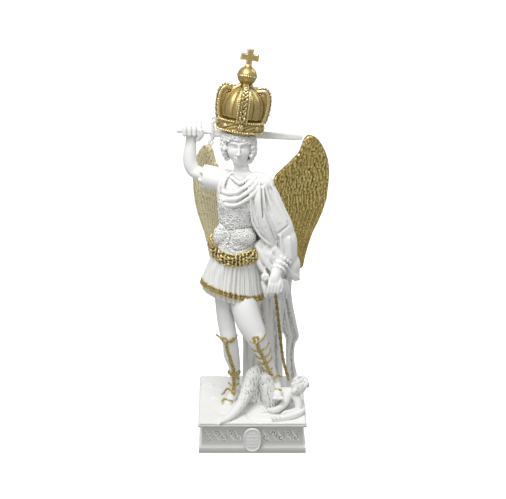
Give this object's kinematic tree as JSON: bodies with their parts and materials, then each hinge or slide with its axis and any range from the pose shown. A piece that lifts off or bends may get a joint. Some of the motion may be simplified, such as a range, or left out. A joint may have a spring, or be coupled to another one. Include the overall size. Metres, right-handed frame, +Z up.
{
  "type": "archangel statue",
  "caption": "Standing winged archangel with crown and raised sword over a beaten demon, on a moulded oblong plinth that rests on any flat surface.",
  "frame": {"origin": "middle of the plinth's underside", "axes": "+Z up, the figure faces -Y, its raised sword hand is on -X"},
  "size_m": [0.1158, 0.0996, 0.299],
  "materials": {
    "cast_white": "matte",
    "gold_paint": "satin",
    "gilded_metal": "satin"
  },
  "bodies": {
    "root": {"plinth": "cast_white", "figure": "cast_white", "wing_left": "gold_paint", "wing_right": "gold_paint", "crown": "gilded_metal", "sword": "cast_white", "chain": "gold_paint"}
  },
  "joints": []
}
